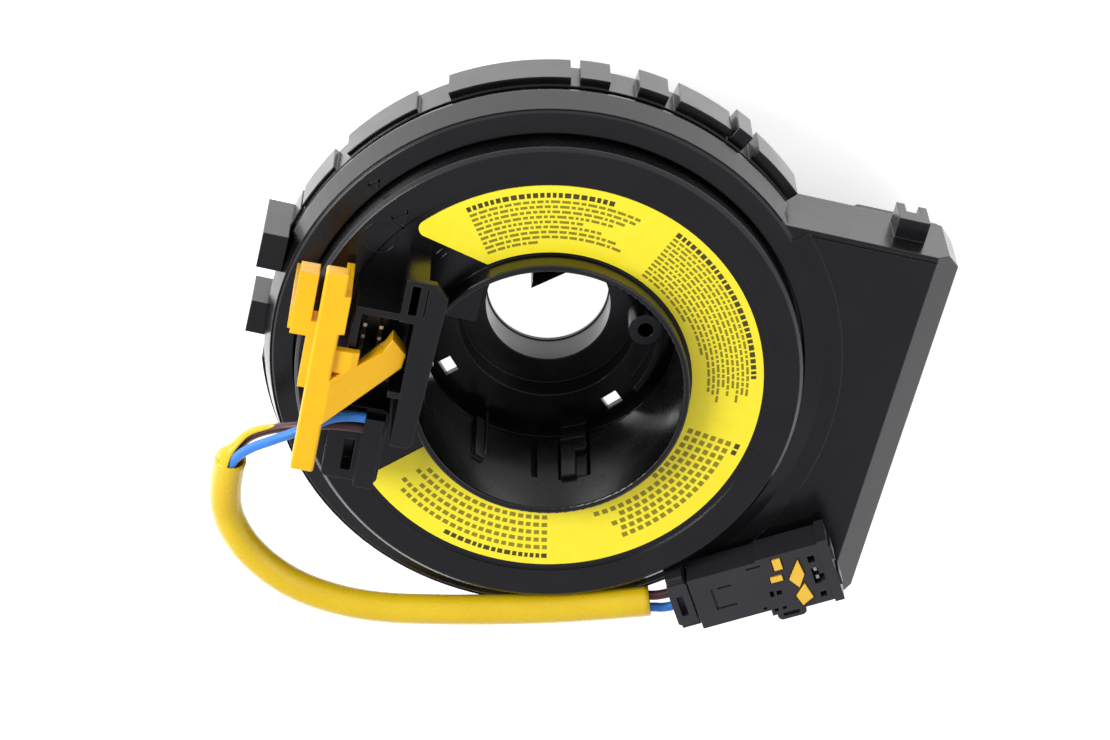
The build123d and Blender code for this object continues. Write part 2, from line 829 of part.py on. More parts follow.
# ---------------------------------------------------------------- lock clip
with BuildPart() as lock_clip:
    # long bar
    with BuildSketch(tower_plane(clip_z)):
        span(clip_left, clip_right, clip_low, clip_high)
    extrude(amount=clip_t)
    fillet(lock_clip.edges().filter_by(Axis.Z), clip_round)
    fillet(lock_clip.edges().group_by(Axis.Z)[-1], clip_round)
    # finger block with its leg and its foot over the rim
    leg_left = clip_left - leg_width
    with BuildSketch(tower_plane(clip_z - leg_drop)):
        finger_block_right = finger_block_left + finger_block_width
        span(finger_block_left, finger_block_right, finger_block_low, finger_block_high)
        span(leg_left, clip_left + clip_overlap, leg_low, finger_block_low + 1.0)
        span(leg_left, clip_left + clip_overlap, finger_block_low, finger_block_low + finger_bridge)
    extrude(amount=leg_t)
    foot_left = finger_block_left - clip_overlap
    with BuildSketch(tower_plane(rim_top_z + running_gap)):
        span(foot_left, foot_left + foot_t, finger_block_low, finger_block_low + foot_width)
    extrude(amount=clip_z - rim_top_z - running_gap)
    # thin plate that hangs beside the tower
    with BuildSketch(tower_plane(plate_low_z)):
        span(clip_right - clip_overlap, clip_right + plate_t, plate_low, plate_high)
    extrude(amount=clip_z + clip_t - plate_low_z)
    # hook over the tower's wall
    with BuildSketch(tower_plane(tower_top_z + running_gap)):
        span(clip_right - clip_overlap, mouth_left + hook_reach, hook_low, hook_high)
    extrude(amount=hook_t)
    # branch into the mouth: its outline, kept only where the falling side profile has it
    with BuildSketch(tower_plane(clip_z - branch_drop)):
        Polygon(*branch_outline, align=None)
    extrude(amount=clip_t + branch_drop)
    branch_tip_z = clip_z - branch_drop
    branch_end = max(point[0] for point in branch_outline)
    branch_side = max(point[1] for point in branch_outline) + 1.0
    branch_span = branch_side - min(point[1] for point in branch_outline)
    with BuildSketch(tower_side(branch_side)):
        with BuildLine() as over:
            Polyline(
                (clip_right, clip_z + clip_t),
                (branch_end + 1.0, clip_z + clip_t),
                (branch_end + 1.0, branch_tip_z + branch_tip_t),
                close=True,
            )
        make_face(over.edges())
        with BuildLine() as under:
            Polyline(
                (clip_right, branch_tip_z),
                (clip_right, clip_z + clip_overlap),
                (mouth_left + assembly_gap, clip_z + clip_overlap),
                (branch_bend_p, branch_tip_z),
                close=True,
            )
        make_face(under.edges())
    extrude(amount=branch_span + 1.0, mode=Mode.SUBTRACT)
save(lock_clip, "lock_clip")

# ---------------------------------------------------------------- lead
def bend_radii(points):
    """The largest arc that each corner's two runs leave room for, with a little kept straight."""
    radii = []
    for before, corner, after in zip(points, points[1:], points[2:]):
        first = Vector(corner) - Vector(before)
        second = Vector(after) - Vector(corner)
        half_turn = radians(first.get_angle(second)) / 2
        radii.append(0.45 * min(first.length, second.length) / tan(half_turn))
    return radii


def tube(name, points, outer_r, inner_r=0.0):
    """Sweeps a round section along straight runs joined by tangent arcs."""
    radii = bend_radii(points)
    with BuildPart() as cord:
        with BuildLine():
            path = FilletPolyline(*points, radius=radii)
        with BuildSketch(Plane(origin=path @ 0, z_dir=path % 0)):
            Circle(outer_r)
            if inner_r > 0:
                Circle(inner_r, mode=Mode.SUBTRACT)
        sweep()
    section = pi * (outer_r**2 - inner_r**2)
    ratio = cord.part.volume / section / path.length
    print(name, "radii", [round(radius, 1) for radius in radii])
    print(name, "length", round(path.length, 1), "volume ratio", round(ratio, 4))
    save(cord, name)


def raised(points):
    """A lead's points, lifted from heights over the rotor's top to their place."""
    return [Vector(point) + Vector(0, 0, rotor_top_z) for point in points]


def wire_route(start, side):
    """A wire's points: one wire starts on top of the other and ends beside it at the plug."""
    points = raised(start)
    for place, centre in enumerate(raised(sleeve_route)):
        angle = radians(90 - 90 * place / (len(sleeve_route) - 1))
        outward = Vector(centre.X, centre.Y, 0).normalized()
        offset = outward * cos(angle) + Vector(0, 0, 1) * sin(angle)
        points.append(centre + offset * side * wire_offset)
    plug_end = plug_plane(rotor_top_z + sleeve_route[-1][2])
    for along in (-wire_stub, 0):
        points.append(plug_end.from_local_coords(Vector(along, -side * wire_pitch / 2, 0)))
    return [(round(point.X, 2), round(point.Y, 2), round(point.Z, 2)) for point in points]


tube("blue_wire", wire_route(blue_start, 1), wire_r)
tube("brown_wire", wire_route(brown_start, -1), wire_r)
tube("wire_sleeve", raised(sleeve_route), sleeve_r, sleeve_r - sleeve_wall)

# ---------------------------------------------------------------- plug
# the lock's two lozenges, its square and its sliver as they lie in the plug's top
lozenges = (
    ((25.2, 3.7), (25.6, 0.3), (24.0, -2.2), (22.6, 0.0)),
    ((25.1, -1.7), (25.9, -5.0), (23.6, -6.2), (22.9, -3.9)),
)
lock_square = (20.5, 22.1, 2.7, 5.0)
lock_sliver = (19.2, 21.5, 0.3, 1.4)


def lock_outline(margin):
    """The lock's shapes, drawn larger by a margin for their pockets."""
    for points in lozenges:
        with BuildLine() as outline:
            Polyline(*points, close=True)
        make_face(outline.edges())
    for low_x, high_x, low_y, high_y in (lock_square, lock_sliver):
        span(low_x, high_x, low_y, high_y)
    if margin > 0:
        offset(amount=margin, kind=Kind.INTERSECTION)


with BuildPart() as plug_cap:
    with BuildSketch(plug_plane(plug_z)):
        span(0, cap_length, cap_low, cap_high)
    extrude(amount=plug_t)
    fillet(plug_cap.edges().filter_by(Axis.Z), 0.6)
    # nub on each side, and the slot in the top
    with BuildSketch(plug_plane(plug_z + 1.2)):
        span(0.4, cap_length + 0.2, cap_low - 1.3, cap_low + 0.5)
        span(0.2, cap_length - 0.4, cap_high - 0.8, cap_high + 1.1)
    extrude(amount=plug_t - 2.2)
    with BuildSketch(plug_plane(plug_top_z)):
        span(1.2, 2.5, -1.8, 2.6)
    extrude(amount=-cap_slot_depth, mode=Mode.SUBTRACT)
save(plug_cap, "plug_cap")

with BuildPart() as plug_body:
    with BuildSketch(plug_plane(plug_z)):
        span(body_start, body_end, body_low, body_high)
        span(body_end, head_end, head_low, head_high)
    extrude(amount=plug_t)
    # neck that the cap is pushed against
    with BuildSketch(plug_plane(plug_z + 1.0)):
        span(cap_length, body_start, cap_low + 0.6, cap_high - 0.6)
    extrude(amount=plug_t - 2.0)
    # nose flange with two pads
    with BuildSketch(plug_plane(plug_z)):
        span(head_end, head_end + flange_t, head_low - 0.3, head_high + 0.6)
    extrude(amount=plug_t + flange_rise)
    with BuildSketch(plug_plane(plug_z + 3.0)):
        span(head_end + flange_t, head_end + flange_t + 0.5, 1.6, 4.6)
        span(head_end + flange_t, head_end + flange_t + 0.5, -4.2, -1.2)
    extrude(amount=plug_t - 3.2)
    # slits in the body's top
    with BuildSketch(plug_plane(plug_top_z)):
        span(7.8, 8.3, -2.4, 2.4)
        span(7.8, 11.8, -2.4, -1.9)
        span(9.2, 11.8, 1.9, 2.4)
        span(15.4, 18.2, 4.2, 4.7)
    extrude(amount=-slit_depth, mode=Mode.SUBTRACT)
    # pockets for the lock, and the holes round it
    with BuildSketch(plug_plane(plug_top_z)):
        lock_outline(assembly_gap)
    extrude(amount=-lock_depth, mode=Mode.SUBTRACT)
    with BuildSketch(plug_plane(plug_top_z)):
        span(27.0, 28.3, 2.2, 3.7)
        span(27.0, 28.3, -2.6, 1.0)
        span(28.2, 29.1, -2.2, -0.6)
        span(27.3, 28.5, -5.7, -4.5)
        span(18.2, 19.0, -2.9, -1.6)
        span(19.5, 20.5, -2.8, -1.8)
        span(16.2, 16.9, -5.2, -4.6)
        span(18.1, 18.9, -6.2, -5.5)
        span(19.7, 20.5, -6.2, -5.5)
    extrude(amount=-hole_depth, mode=Mode.SUBTRACT)
save(plug_body, "plug_body")

with BuildPart() as plug_lock:
    with BuildSketch(plug_plane(plug_top_z - lock_depth)):
        lock_outline(0)
    extrude(amount=lock_depth + lock_rise)
save(plug_lock, "plug_lock")

with BuildPart() as plug_latch:
    # spring loop at the head's side with its yellow-backed slot
    with BuildSketch(plug_plane(plug_z + 2.4)):
        with Locations((21.0, head_low - 1.1)):
            RectangleRounded(5.6, 2.2, 1.0)
            RectangleRounded(3.4, 0.9, 0.4, mode=Mode.SUBTRACT)
    extrude(amount=plug_t - 3.6)
save(plug_latch, "plug_latch")

with BuildPart() as plug_terminals:
    with BuildSketch(plug_plane(plug_top_z - hole_depth)):
        for across in (-2.0, -0.2):
            span(27.4, 28.0, across, across + 0.8)
    extrude(amount=hole_depth - 0.8)
save(plug_terminals, "plug_terminals")
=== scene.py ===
import math
import random

import bmesh
import bpy
from mathutils import Matrix, Vector


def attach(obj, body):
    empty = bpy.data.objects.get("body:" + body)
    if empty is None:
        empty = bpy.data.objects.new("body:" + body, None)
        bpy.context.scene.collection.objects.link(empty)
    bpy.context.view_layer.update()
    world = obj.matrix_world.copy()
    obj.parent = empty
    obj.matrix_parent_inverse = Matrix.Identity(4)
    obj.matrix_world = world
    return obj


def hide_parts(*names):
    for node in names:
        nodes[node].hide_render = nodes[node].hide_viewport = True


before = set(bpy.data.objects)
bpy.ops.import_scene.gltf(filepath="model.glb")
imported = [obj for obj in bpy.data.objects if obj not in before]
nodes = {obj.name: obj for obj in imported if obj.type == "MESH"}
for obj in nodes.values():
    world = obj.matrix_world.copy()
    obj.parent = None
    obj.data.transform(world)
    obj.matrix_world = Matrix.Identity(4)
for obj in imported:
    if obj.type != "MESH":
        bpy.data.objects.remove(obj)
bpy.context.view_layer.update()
mm = 0.001
print("frame loaded,", len(nodes), "nodes")

# camera
cameraSet = {
    "place": (-62.8, 250.9, 519.3),  # mm
    "tilt": 28.139,  # degrees from straight down
    "roll": 0.858,
    "turn": 14.3,  # degrees, its heading about the upright
    "lens": 97.3,  # mm
    "sensor": 36,  # mm
    "clip": (0.01, 20),  # m
}


def makeCamera(s):
    camera = bpy.data.objects.new("camera", bpy.data.cameras.new("camera"))
    bpy.context.scene.collection.objects.link(camera)
    tilt = math.radians(s["tilt"])
    roll = math.radians(s["roll"])
    right = Vector((math.cos(roll), -math.sin(roll) * math.cos(tilt), math.sin(roll) * math.sin(tilt)))
    up = Vector((math.sin(roll), math.cos(roll) * math.cos(tilt), -math.cos(roll) * math.sin(tilt)))
    back = Vector((0, math.sin(tilt), math.cos(tilt)))
    axes = Matrix((right, up, back)).transposed()
    spin = Matrix.Rotation(math.radians(s["turn"]), 3, "Z")
    camera.matrix_world = Matrix.Translation(Vector(s["place"]) * mm) @ (spin @ axes).to_4x4()
    camera.data.lens = s["lens"]
    camera.data.sensor_width = s["sensor"]
    camera.data.clip_start, camera.data.clip_end = s["clip"]
    bpy.context.scene.camera = camera


makeCamera(cameraSet)


# sRGB hex to linear RGBA
def hexColour(code):
    parts = [int(code[i:i + 2], 16) / 255 for i in (1, 3, 5)]
    return [c / 12.92 if c <= 0.04045 else ((c + 0.055) / 1.055) ** 2.4 for c in parts] + [1]


# settings that are the node's own go to the node, the others to its sockets; links feed its sockets
def addNode(tree, kind, links=None, **settings):
    node = tree.nodes.new(kind)
    for name, value in settings.items():
        if hasattr(node, name):
            setattr(node, name, value)
        else:
            node.inputs[name.replace("_", " ")].default_value = value
    for name, source in (links or {}).items():
        tree.links.new(source, node.inputs[name])
    return node


def newMaterial(name, **settings):
    material = bpy.data.materials.new(name)
    material.use_nodes = True
    shader = material.node_tree.nodes["Principled BSDF"]
    for socket, value in settings.items():
        shader.inputs[socket.replace("_", " ")].default_value = value
    return material, material.node_tree, shader


# the object's own coordinates, in metres
def place(tree):
    return addNode(tree, "ShaderNodeTexCoord").outputs["Object"]


# texture scale for a feature of that size in mm
def perMetre(size):
    return 1000 / size


edgeSamples = 6  # rays that find a rounded edge
noiseSpan = (0.3, 0.7)  # where most of a noise's values lie


# black PBT housings: injection moulded in a polished tool, so a wet gloss with a faint swell,
# soft edges, and dust specks that dull the gloss a little
housingSet = {
    "dark": "#070708",
    "light": "#0d0d0f",
    "ior": 1.5,
    "roughness": (0.2, 0.3),
    "swell": 9.0,  # mm between the slow waves of the moulded skin
    "swellBump": (0.12, 0.25),  # strength, depth in mm
    "grain": 0.35,  # mm; real grain is finer still, and this is the finest that shows
    "grainBump": (0.06, 0.02),
    "edge": 0.35,  # mm radius of the moulded edges
    "dust": 1.1,  # mm between specks
    "speck": (0.05, 0.16),  # a speck's full core and its end, as shares of their distance
    "dustDull": 0.12,  # roughness that a speck adds
}


def makeHousing(name, s):
    material, tree, shader = newMaterial(name, IOR=s["ior"])
    where = place(tree)
    slow = addNode(tree, "ShaderNodeTexNoise", {"Vector": where}, Scale=perMetre(s["swell"]), Detail=3.0)
    fine = addNode(tree, "ShaderNodeTexNoise", {"Vector": where}, Scale=perMetre(s["grain"]), Detail=2.0)
    specks = addNode(tree, "ShaderNodeTexVoronoi", {"Vector": where}, Scale=perMetre(s["dust"]))
    dust = addNode(tree, "ShaderNodeMapRange", {"Value": specks.outputs["Distance"]},
                   From_Min=s["speck"][0], From_Max=s["speck"][1], To_Min=1.0, To_Max=0.0)
    tint = addNode(tree, "ShaderNodeMix", {"Factor": slow.outputs["Fac"]}, data_type="RGBA")
    tint.inputs["A"].default_value = hexColour(s["dark"])
    tint.inputs["B"].default_value = hexColour(s["light"])
    rough = addNode(tree, "ShaderNodeMapRange", {"Value": slow.outputs["Fac"]},
                    From_Min=noiseSpan[0], From_Max=noiseSpan[1],
                    To_Min=s["roughness"][0], To_Max=s["roughness"][1])
    dulled = addNode(tree, "ShaderNodeMath", {0: dust.outputs["Result"], 2: rough.outputs["Result"]},
                     operation="MULTIPLY_ADD")
    dulled.inputs[1].default_value = s["dustDull"]
    edges = addNode(tree, "ShaderNodeBevel", samples=edgeSamples, Radius=s["edge"] * mm)
    waves = addNode(tree, "ShaderNodeBump",
                    {"Height": slow.outputs["Fac"], "Normal": edges.outputs["Normal"]},
                    Strength=s["swellBump"][0], Distance=s["swellBump"][1] * mm)
    skin = addNode(tree, "ShaderNodeBump",
                   {"Height": fine.outputs["Fac"], "Normal": waves.outputs["Normal"]},
                   Strength=s["grainBump"][0], Distance=s["grainBump"][1] * mm)
    tree.links.new(tint.outputs["Result"], shader.inputs["Base Color"])
    tree.links.new(dulled.outputs["Value"], shader.inputs["Roughness"])
    tree.links.new(skin.outputs["Normal"], shader.inputs["Normal"])
    return material


# plastics with a plainer skin: grain is in mm, drawn coarser than the real one so that it shows,
# and edge is the radius of their edges in mm
plasticSets = {
    # glass filled PA66 for the plug: charcoal, an even satin sheen with soft highlights
    "satinNylon": {"dark": "#232226", "light": "#2e2d32", "roughness": 0.36, "ior": 1.53, "grain": 0.3,
                   "bump": 0.16, "edge": 0.2},
    # natural PA66 for the cable holders: milky off-white and waxy
    "whiteNylon": {"dark": "#cfccc2", "light": "#dedbd2", "roughness": 0.45, "ior": 1.53, "grain": 0.3,
                   "bump": 0.1, "edge": 0.2},
    # moulded POM for the clip: deep amber yellow, smooth, with tight highlights along its edges
    "orangeAcetal": {"dark": "#f3b008", "light": "#fcc414", "roughness": 0.3, "ior": 1.48, "grain": 1.2,
                     "bump": 0.1, "edge": 0.35},
    # moulded POM for the plug's lock: paler, with the same slippery gloss
    "yellowAcetal": {"dark": "#efb92c", "light": "#f8cd52", "roughness": 0.33, "ior": 1.48, "grain": 0.6,
                     "bump": 0.1, "edge": 0.25},
    # extruded PVC on the wires: a long narrow highlight on clear blue and on near-black brown
    "blueWirePvc": {"dark": "#2070cc", "light": "#3384de", "roughness": 0.38, "ior": 1.53, "grain": 0.8,
                    "bump": 0.12, "edge": 0},
    "brownWirePvc": {"dark": "#3a1c1c", "light": "#4d2726", "roughness": 0.38, "ior": 1.53, "grain": 0.8,
                     "bump": 0.12, "edge": 0},
    # PET tape and sheets: thin pale amber film with a flat gloss
    "polyesterFilm": {"dark": "#c9b48c", "light": "#d8c7a4", "roughness": 0.3, "ior": 1.6, "grain": 2.0,
                      "bump": 0.05, "edge": 0},
    # screen ink: flat and satin, dark olive, and a lighter one where the yellow shows through
    "darkInk": {"dark": "#3c390f", "light": "#4d4914", "roughness": 0.42, "ior": 1.5, "grain": 0.4,
                "bump": 0.1, "edge": 0},
    "oliveInk": {"dark": "#857d12", "light": "#958c1a", "roughness": 0.42, "ior": 1.5, "grain": 0.4,
                 "bump": 0.1, "edge": 0},
}
plasticSkin = {
    "cloud": 7.0,  # mm between the slow changes of colour
    "below": 0.05,  # how far the roughness goes under its own value
    "above": 0.08,
    "depth": 0.05,  # mm of bump
}


def makePlastic(name, s, skinSet):
    material, tree, shader = newMaterial(name, IOR=s["ior"])
    where = place(tree)
    cloud = addNode(tree, "ShaderNodeTexNoise", {"Vector": where},
                    Scale=perMetre(skinSet["cloud"]), Detail=4.0)
    grain = addNode(tree, "ShaderNodeTexNoise", {"Vector": where}, Scale=perMetre(s["grain"]), Detail=3.0)
    tint = addNode(tree, "ShaderNodeMix", {"Factor": cloud.outputs["Fac"]}, data_type="RGBA")
    tint.inputs["A"].default_value = hexColour(s["dark"])
    tint.inputs["B"].default_value = hexColour(s["light"])
    rough = addNode(tree, "ShaderNodeMapRange", {"Value": grain.outputs["Fac"]},
                    From_Min=noiseSpan[0], From_Max=noiseSpan[1],
                    To_Min=s["roughness"] - skinSet["below"], To_Max=s["roughness"] + skinSet["above"])
    skin = addNode(tree, "ShaderNodeBump", {"Height": grain.outputs["Fac"]}, Strength=s["bump"],
                   Distance=skinSet["depth"] * mm)
    if s["edge"]:
        edges = addNode(tree, "ShaderNodeBevel", samples=edgeSamples, Radius=s["edge"] * mm)
        tree.links.new(edges.outputs["Normal"], skin.inputs["Normal"])
    tree.links.new(tint.outputs["Result"], shader.inputs["Base Color"])
    tree.links.new(rough.outputs["Result"], shader.inputs["Roughness"])
    tree.links.new(skin.outputs["Normal"], shader.inputs["Normal"])
    return material


# soft PVC tube: extruded, so a fine skin, a slow wobble, a waxy gloss and a little light through it
softPvcSet = {
    "dark": "#d8ae0c",
    "light": "#eccc1e",
    "ior": 1.53,
    "roughness": (0.22, 0.4),
    "through": (0.12, 1.2),  # share of light that goes in, and how far in mm
    "throughTint": (1.0, 0.7, 0.2),
    "wobble": 11.0,  # mm between its changes
    "wobbleBump": (0.25, 0.4),
    "skin": 0.7,  # mm; the real skin is finer, and this shows
    "skinBump": (0.05, 0.04),
}


def makeSoftPvc(name, s):
    material, tree, shader = newMaterial(name, IOR=s["ior"], Subsurface_Weight=s["through"][0],
                                         Subsurface_Scale=s["through"][1] * mm,
                                         Subsurface_Radius=s["throughTint"])
    where = place(tree)
    cloud = addNode(tree, "ShaderNodeTexNoise", {"Vector": where}, Scale=perMetre(s["wobble"]), Detail=4.0)
    fine = addNode(tree, "ShaderNodeTexNoise", {"Vector": where}, Scale=perMetre(s["skin"]), Detail=2.0)
    tint = addNode(tree, "ShaderNodeMix", {"Factor": cloud.outputs["Fac"]}, data_type="RGBA")
    tint.inputs["A"].default_value = hexColour(s["dark"])
    tint.inputs["B"].default_value = hexColour(s["light"])
    rough = addNode(tree, "ShaderNodeMapRange", {"Value": fine.outputs["Fac"]},
                    From_Min=noiseSpan[0], From_Max=noiseSpan[1],
                    To_Min=s["roughness"][0], To_Max=s["roughness"][1])
    wave = addNode(tree, "ShaderNodeBump", {"Height": cloud.outputs["Fac"]},
                   Strength=s["wobbleBump"][0], Distance=s["wobbleBump"][1] * mm)
    skin = addNode(tree, "ShaderNodeBump",
                   {"Height": fine.outputs["Fac"], "Normal": wave.outputs["Normal"]},
                   Strength=s["skinBump"][0], Distance=s["skinBump"][1] * mm)
    tree.links.new(tint.outputs["Result"], shader.inputs["Base Color"])
    tree.links.new(rough.outputs["Result"], shader.inputs["Roughness"])
    tree.links.new(skin.outputs["Normal"], shader.inputs["Normal"])
    return material


# vinyl label film: printed, satin, with slight waves from being laid by hand and paler rubbed patches
labelSet = {
    "dark": "#fbe61c",
    "light": "#fff03a",
    "ior": 1.5,
    "roughness": (0.26, 0.44),
    "wave": 14.0,  # mm between the slow waves
    "waveBump": (0.3, 0.15),
    "rub": 2.5,  # mm between rubbed patches
}


def makeVinyl(name, s):
    material, tree, shader = newMaterial(name, IOR=s["ior"])
    where = place(tree)
    wave = addNode(tree, "ShaderNodeTexNoise", {"Vector": where}, Scale=perMetre(s["wave"]), Detail=3.0)
    rub = addNode(tree, "ShaderNodeTexNoise", {"Vector": where}, Scale=perMetre(s["rub"]), Detail=5.0)
    tint = addNode(tree, "ShaderNodeMix", {"Factor": rub.outputs["Fac"]}, data_type="RGBA")
    tint.inputs["A"].default_value = hexColour(s["dark"])
    tint.inputs["B"].default_value = hexColour(s["light"])
    rough = addNode(tree, "ShaderNodeMapRange", {"Value": rub.outputs["Fac"]},
                    From_Min=noiseSpan[0], From_Max=noiseSpan[1],
                    To_Min=s["roughness"][0], To_Max=s["roughness"][1])
    bump = addNode(tree, "ShaderNodeBump", {"Height": wave.outputs["Fac"]},
                   Strength=s["waveBump"][0], Distance=s["waveBump"][1] * mm)
    tree.links.new(tint.outputs["Result"], shader.inputs["Base Color"])
    tree.links.new(rough.outputs["Result"], shader.inputs["Roughness"])
    tree.links.new(bump.outputs["Normal"], shader.inputs["Normal"])
    return material


# tin plated brass contacts: dull bright metal with a fine mottle
tinSet = {
    "dark": "#b9b4a8",
    "light": "#dcd8cd",
    "roughness": (0.24, 0.42),
    "mottle": 0.2,  # mm
}


def makeTin(name, s):
    material, tree, shader = newMaterial(name, Metallic=1.0)
    where = place(tree)
    mottle = addNode(tree, "ShaderNodeTexNoise", {"Vector": where}, Scale=perMetre(s["mottle"]), Detail=3.0)
    tint = addNode(tree, "ShaderNodeMix", {"Factor": mottle.outputs["Fac"]}, data_type="RGBA")
    tint.inputs["A"].default_value = hexColour(s["dark"])
    tint.inputs["B"].default_value = hexColour(s["light"])
    rough = addNode(tree, "ShaderNodeMapRange", {"Value": mottle.outputs["Fac"]},
                    From_Min=noiseSpan[0], From_Max=noiseSpan[1],
                    To_Min=s["roughness"][0], To_Max=s["roughness"][1])
    tree.links.new(tint.outputs["Result"], shader.inputs["Base Color"])
    tree.links.new(rough.outputs["Result"], shader.inputs["Roughness"])
    return material


materials = {name: makePlastic(name, s, plasticSkin) for name, s in plasticSets.items()}
materials["blackPbt"] = makeHousing("blackPbt", housingSet)
materials["softPvc"] = makeSoftPvc("softPvc", softPvcSet)
materials["printedVinyl"] = makeVinyl("printedVinyl", labelSet)
materials["tinnedBrass"] = makeTin("tinnedBrass", tinSet)
print("materials made,", len(materials))

# each material's nodes
nodeFinish = {
    "blackPbt": ("front_cover", "rear_housing", "main_socket", "airbag_socket", "rotor_disc", "rotor_tower",
                 "lower_hub", "connector_insert", "cable_cover"),
    "satinNylon": ("plug_cap", "plug_body", "plug_latch"),
    "whiteNylon": ("outer_cable_holder", "inner_cable_holder"),
    "orangeAcetal": ("lock_clip",),
    "yellowAcetal": ("plug_lock",),
    "polyesterFilm": ("ribbon_cable", "upper_slip_sheet", "lower_slip_sheet"),
    "printedVinyl": ("label",),
    "tinnedBrass": ("main_pins", "airbag_pins", "rotor_pins", "plug_terminals"),
}
for finish, names in nodeFinish.items():
    for name in names:
        for slot in nodes[name].material_slots:
            slot.material = materials[finish]

# lead: two wires through a soft sleeve, the route's points in mm
leadSet = {
    "wireRadius": 0.9,
    "sleeveRadius": 2.9,
    "sleeveWall": 0.4,
    "blueLength": 139.8,
    "brownLength": 136.0,
    "sleeveLength": 102.4,
    "blue": (
        (-31.48, -9.7, 49.9), (-35.98, -9.86, 49.9), (-41.2, -13.4, 50.9), (-46.4, -18.2, 49.1),
        (-50.8, -22.9, 46.2), (-53.2, -28.0, 43.35), (-53.59, -36.13, 41.53), (-50.75, -44.5, 40.27),
        (-44.44, -51.31, 39.57), (-35.06, -55.94, 39.33), (-22.38, -57.16, 39.17), (-7.66, -54.56, 38.97),
        (8.2, -50.85, 38.76), (21.04, -47.01, 38.53), (30.58, -43.61, 38.3), (32.9, -43.43, 38.3),
        (34.78, -42.28, 38.3),
    ),
    "brown": (
        (-31.39, -12.3, 49.1), (-35.9, -12.46, 49.1), (-41.6, -14.4, 48.5), (-47.0, -17.6, 46.1),
        (-51.2, -22.2, 42.9), (-53.2, -28.0, 40.65), (-53.21, -35.87, 38.87), (-50.05, -43.9, 37.73),
        (-43.56, -50.29, 37.23), (-34.14, -54.46, 37.27), (-21.62, -55.24, 37.43), (-7.34, -52.24, 37.62),
        (7.8, -48.35, 37.84), (19.96, -44.59, 38.07), (29.02, -41.39, 38.3), (31.34, -40.87, 38.3),
        (33.22, -39.72, 38.3),
    ),
    "sleeve": (
        (-53.2, -28.0, 42.0), (-53.4, -36.0, 40.2), (-50.4, -44.2, 39.0), (-44.0, -50.8, 38.4),
        (-34.6, -55.2, 38.3), (-22.0, -56.2, 38.3), (-7.5, -53.4, 38.3), (8.0, -49.6, 38.3),
        (20.5, -45.8, 38.3), (29.8, -42.5, 38.3),
    ),
    # the sleeve's end is cut aslant: its tongue's two edges, from the sleeve up along the brown wire
    "tongueOuter": (
        (-56.1, -29.2, 41.9), (-55.99, -28.12, 42.0), (-55.8, -25.9, 42.4), (-53.6, -24.5, 42.9),
        (-52.7, -22.1, 43.0), (-51.0, -19.8, 43.6), (-48.7, -17.7, 45.2), (-46.6, -16.5, 46.5),
    ),
    "tongueInner": (
        (-53.4, -29.6, 44.6), (-53.56, -28.61, 44.8), (-53.3, -25.9, 44.6), (-52.3, -23.8, 44.4),
        (-51.2, -21.4, 44.4), (-49.4, -19.3, 45.6), (-47.3, -17.4, 46.9), (-46.4, -16.5, 46.7),
    ),
    "tongueCrown": (-0.35, 0.1, 0.3),  # from midway between its edges to the top of its curve
    "tongueRounds": 2,  # rounds of smoothing
}
cordSteps = {"along": 16, "around": 6}


# a round cord of one smooth spline
def makeCord(name, points, radius, material, caps=True):
    curve = bpy.data.curves.new(name, "CURVE")
    curve.dimensions = "3D"
    curve.resolution_u = cordSteps["along"]
    curve.bevel_depth = radius * mm
    curve.bevel_resolution = cordSteps["around"]
    curve.use_fill_caps = caps
    spline = curve.splines.new("NURBS")
    spline.points.add(len(points) - 1)
    for point, where in zip(spline.points, points):
        point.co = (*(value * mm for value in where), 1)
    spline.order_u = 3
    spline.use_endpoint_u = True
    curve.materials.append(materials[material])
    cord = bpy.data.objects.new(name, curve)
    bpy.context.scene.collection.objects.link(cord)
    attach(cord, "rotor")
    return cord


# a mesh tube with a wall, so that its cut end is open, and the line that it follows
def makeSleeveTube(s):
    draft = makeCord("sleeveDraft", s["sleeve"], s["sleeveRadius"], "softPvc", caps=False)
    tube = bpy.data.meshes.new_from_object(draft)
    draft.data.bevel_depth = 0
    line = bpy.data.meshes.new_from_object(draft)
    path = [tuple(vertex.co) for vertex in line.vertices]
    bpy.data.objects.remove(draft)
    bpy.data.meshes.remove(line)
    sleeve = bpy.data.objects.new("sleeveTube", tube)
    bpy.context.scene.collection.objects.link(sleeve)
    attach(sleeve, "rotor")
    wall = sleeve.modifiers.new("wall", "SOLIDIFY")
    wall.thickness = s["sleeveWall"] * mm
    wall.offset = -1
    return sleeve, path


def makeLead(s):
    blue = makeCord("blueWire", s["blue"], s["wireRadius"], "blueWirePvc")
    brown = makeCord("brownWire", s["brown"], s["wireRadius"], "brownWirePvc")
    sleeve, sleevePath = makeSleeveTube(s)
    for piece, node, slot in ((blue, "blue_wire", "blue_wire"), (brown, "brown_wire", "brown_wire"),
                              (sleeve, "wire_sleeve", "sleeve_pvc")):
        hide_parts(node)


makeLead(leadSet)


# a piece from vertices in mm and faces
def meshPiece(name, vertices, faces, material, body="rotor", slot=None, smooth=False):
    mesh = bpy.data.meshes.new(name)
    mesh.from_pydata([[value * mm for value in vertex] for vertex in vertices], [], faces)
    mesh.materials.append(materials[material])
    if smooth:
        mesh.shade_smooth()
    piece = bpy.data.objects.new(name, mesh)
    bpy.context.scene.collection.objects.link(piece)
    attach(piece, body)
    return piece


